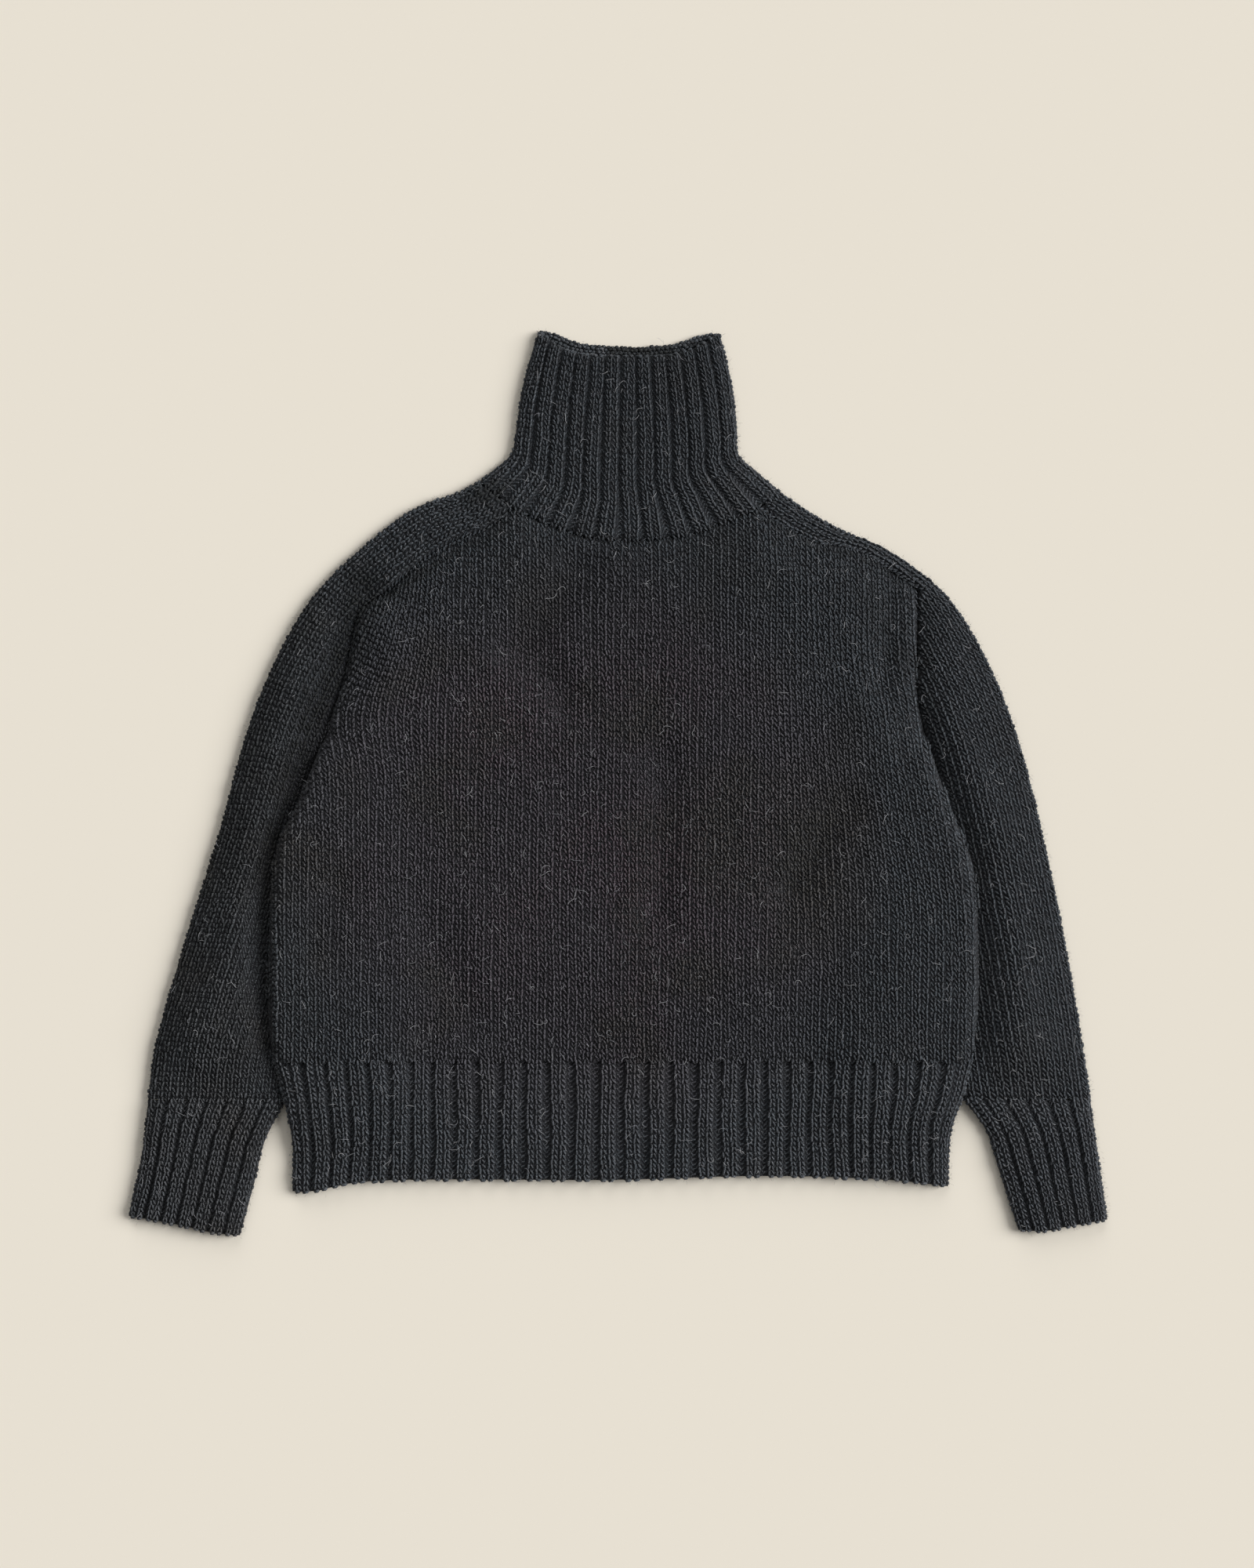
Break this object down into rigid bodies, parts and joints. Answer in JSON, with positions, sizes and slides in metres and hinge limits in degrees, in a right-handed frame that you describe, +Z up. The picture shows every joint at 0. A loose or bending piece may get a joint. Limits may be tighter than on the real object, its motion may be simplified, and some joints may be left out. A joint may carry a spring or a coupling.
{
  "type": "turtleneck sweater",
  "caption": "Chunky charcoal wool turtleneck sweater laid flat, with saddle shoulders, plain knit body and sleeves, and ribbed collar, cuffs and hem.",
  "frame": {"origin": "on the surface the sweater lies on, under the middle of its outline", "axes": "+Z up from the surface, +Y from the hem to the collar, +X to the right as it is seen from above"},
  "size_m": [0.7981, 0.737, 0.0161],
  "materials": {
    "wool": "hand-knit wool in plain knit, heathered charcoal, matt with a soft fuzz",
    "wool_rib": "the same wool in ribbing, two raised wales and one furrow"
  },
  "bodies": {
    "root": {"front": "wool", "back": "wool", "sleeve_left": "wool", "sleeve_right": "wool", "collar": "wool_rib", "hem_rib": "wool_rib", "cuff_left": "wool_rib", "cuff_right": "wool_rib"}
  },
  "joints": []
}
